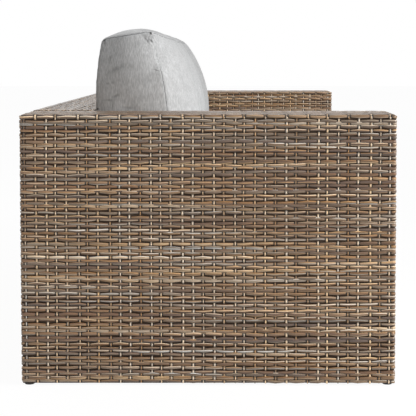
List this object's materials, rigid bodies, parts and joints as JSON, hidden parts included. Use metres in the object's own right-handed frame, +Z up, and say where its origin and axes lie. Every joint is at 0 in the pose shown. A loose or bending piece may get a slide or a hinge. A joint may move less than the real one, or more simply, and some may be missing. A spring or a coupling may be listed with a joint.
{
  "type": "rattan garden sofa",
  "caption": "Box-shaped woven rattan garden sofa with wide arms as high as its back, and loose boxed seat and back cushions on a tube frame.",
  "frame": {"origin": "on the floor, under the middle of the sofa's length and depth", "axes": "+X along the sofa to the right arm as seen from the front, -Y out of the front, +Z up"},
  "size_m": [2.16, 0.89, 0.8542],
  "materials": {
    "wicker": "woven flat resin strands in mixed tan, honey and grey-brown",
    "frame_tube": "brown powder coat",
    "webbing": "interlaced dark straps",
    "glide_plastic": "black moulded",
    "bolt_steel": "zinc plated",
    "cushion_fabric": "light grey heathered outdoor cloth"
  },
  "bodies": {
    "sofa_frame": {"left_arm_outer_weave": "wicker", "left_arm_inner_weave": "wicker", "left_arm_front_weave": "wicker", "left_arm_rear_weave": "wicker", "left_arm_top_weave": "wicker", "left_arm_front_outer_post": "frame_tube", "left_arm_front_inner_post": "frame_tube", "left_arm_front_top_tie": "frame_tube", "left_front_outer_glide": "glide_plastic", "left_front_inner_glide": "glide_plastic", "left_front_frame_bolt": "bolt_steel", "left_arm_rear_outer_post": "frame_tube", "left_arm_rear_inner_post": "frame_tube", "left_arm_rear_top_tie": "frame_tube", "left_rear_outer_glide": "glide_plastic", "left_rear_inner_glide": "glide_plastic", "left_rear_frame_bolt": "bolt_steel", "left_arm_top_outer_rail": "frame_tube", "left_arm_top_inner_rail": "frame_tube", "seat_left_rail": "frame_tube", "right_arm_outer_weave": "wicker", "right_arm_inner_weave": "wicker", "right_arm_front_weave": "wicker", "right_arm_rear_weave": "wicker", "right_arm_top_weave": "wicker", "right_arm_front_outer_post": "frame_tube", "right_arm_front_inner_post": "frame_tube", "right_arm_front_top_tie": "frame_tube", "right_front_outer_glide": "glide_plastic", "right_front_inner_glide": "glide_plastic", "right_front_frame_bolt": "bolt_steel", "right_arm_rear_outer_post": "frame_tube", "right_arm_rear_inner_post": "frame_tube", "right_arm_rear_top_tie": "frame_tube", "right_rear_outer_glide": "glide_plastic", "right_rear_inner_glide": "glide_plastic", "right_rear_frame_bolt": "bolt_steel", "right_arm_top_outer_rail": "frame_tube", "right_arm_top_inner_rail": "frame_tube", "seat_right_rail": "frame_tube", "back_rear_weave": "wicker", "back_top_weave": "wicker", "back_front_weave": "wicker", "back_top_rear_rail": "frame_tube", "back_top_front_rail": "frame_tube", "back_bottom_rail": "frame_tube", "back_middle_post_1": "frame_tube", "back_middle_post_2": "frame_tube", "seat_front_rail": "frame_tube", "seat_rear_rail": "frame_tube", "seat_cross_bar_1": "frame_tube", "seat_cross_bar_2": "frame_tube", "front_apron_weave": "wicker", "seat_deck_webbing": "webbing"},
    "left_seat_cushion": {"left_seat_cushion": "cushion_fabric"},
    "left_back_cushion": {"left_back_cushion": "cushion_fabric"},
    "middle_seat_cushion": {"middle_seat_cushion": "cushion_fabric"},
    "middle_back_cushion": {"middle_back_cushion": "cushion_fabric"},
    "right_seat_cushion": {"right_seat_cushion": "cushion_fabric"},
    "right_back_cushion": {"right_back_cushion": "cushion_fabric"}
  },
  "joints": [
    {"name": "left_seat_cushion_pull", "type": "slide", "parent": "sofa_frame", "child": "left_seat_cushion", "axis": [0, -1, 0], "range_m": [0, 0.45]},
    {"name": "left_back_cushion_lift", "type": "slide", "parent": "sofa_frame", "child": "left_back_cushion", "axis": [0, 0, 1], "range_m": [0, 0.3]},
    {"name": "middle_seat_cushion_pull", "type": "slide", "parent": "sofa_frame", "child": "middle_seat_cushion", "axis": [0, -1, 0], "range_m": [0, 0.45]},
    {"name": "middle_back_cushion_lift", "type": "slide", "parent": "sofa_frame", "child": "middle_back_cushion", "axis": [0, 0, 1], "range_m": [0, 0.3]},
    {"name": "right_seat_cushion_pull", "type": "slide", "parent": "sofa_frame", "child": "right_seat_cushion", "axis": [0, -1, 0], "range_m": [0, 0.45]},
    {"name": "right_back_cushion_lift", "type": "slide", "parent": "sofa_frame", "child": "right_back_cushion", "axis": [0, 0, 1], "range_m": [0, 0.3]}
  ]
}
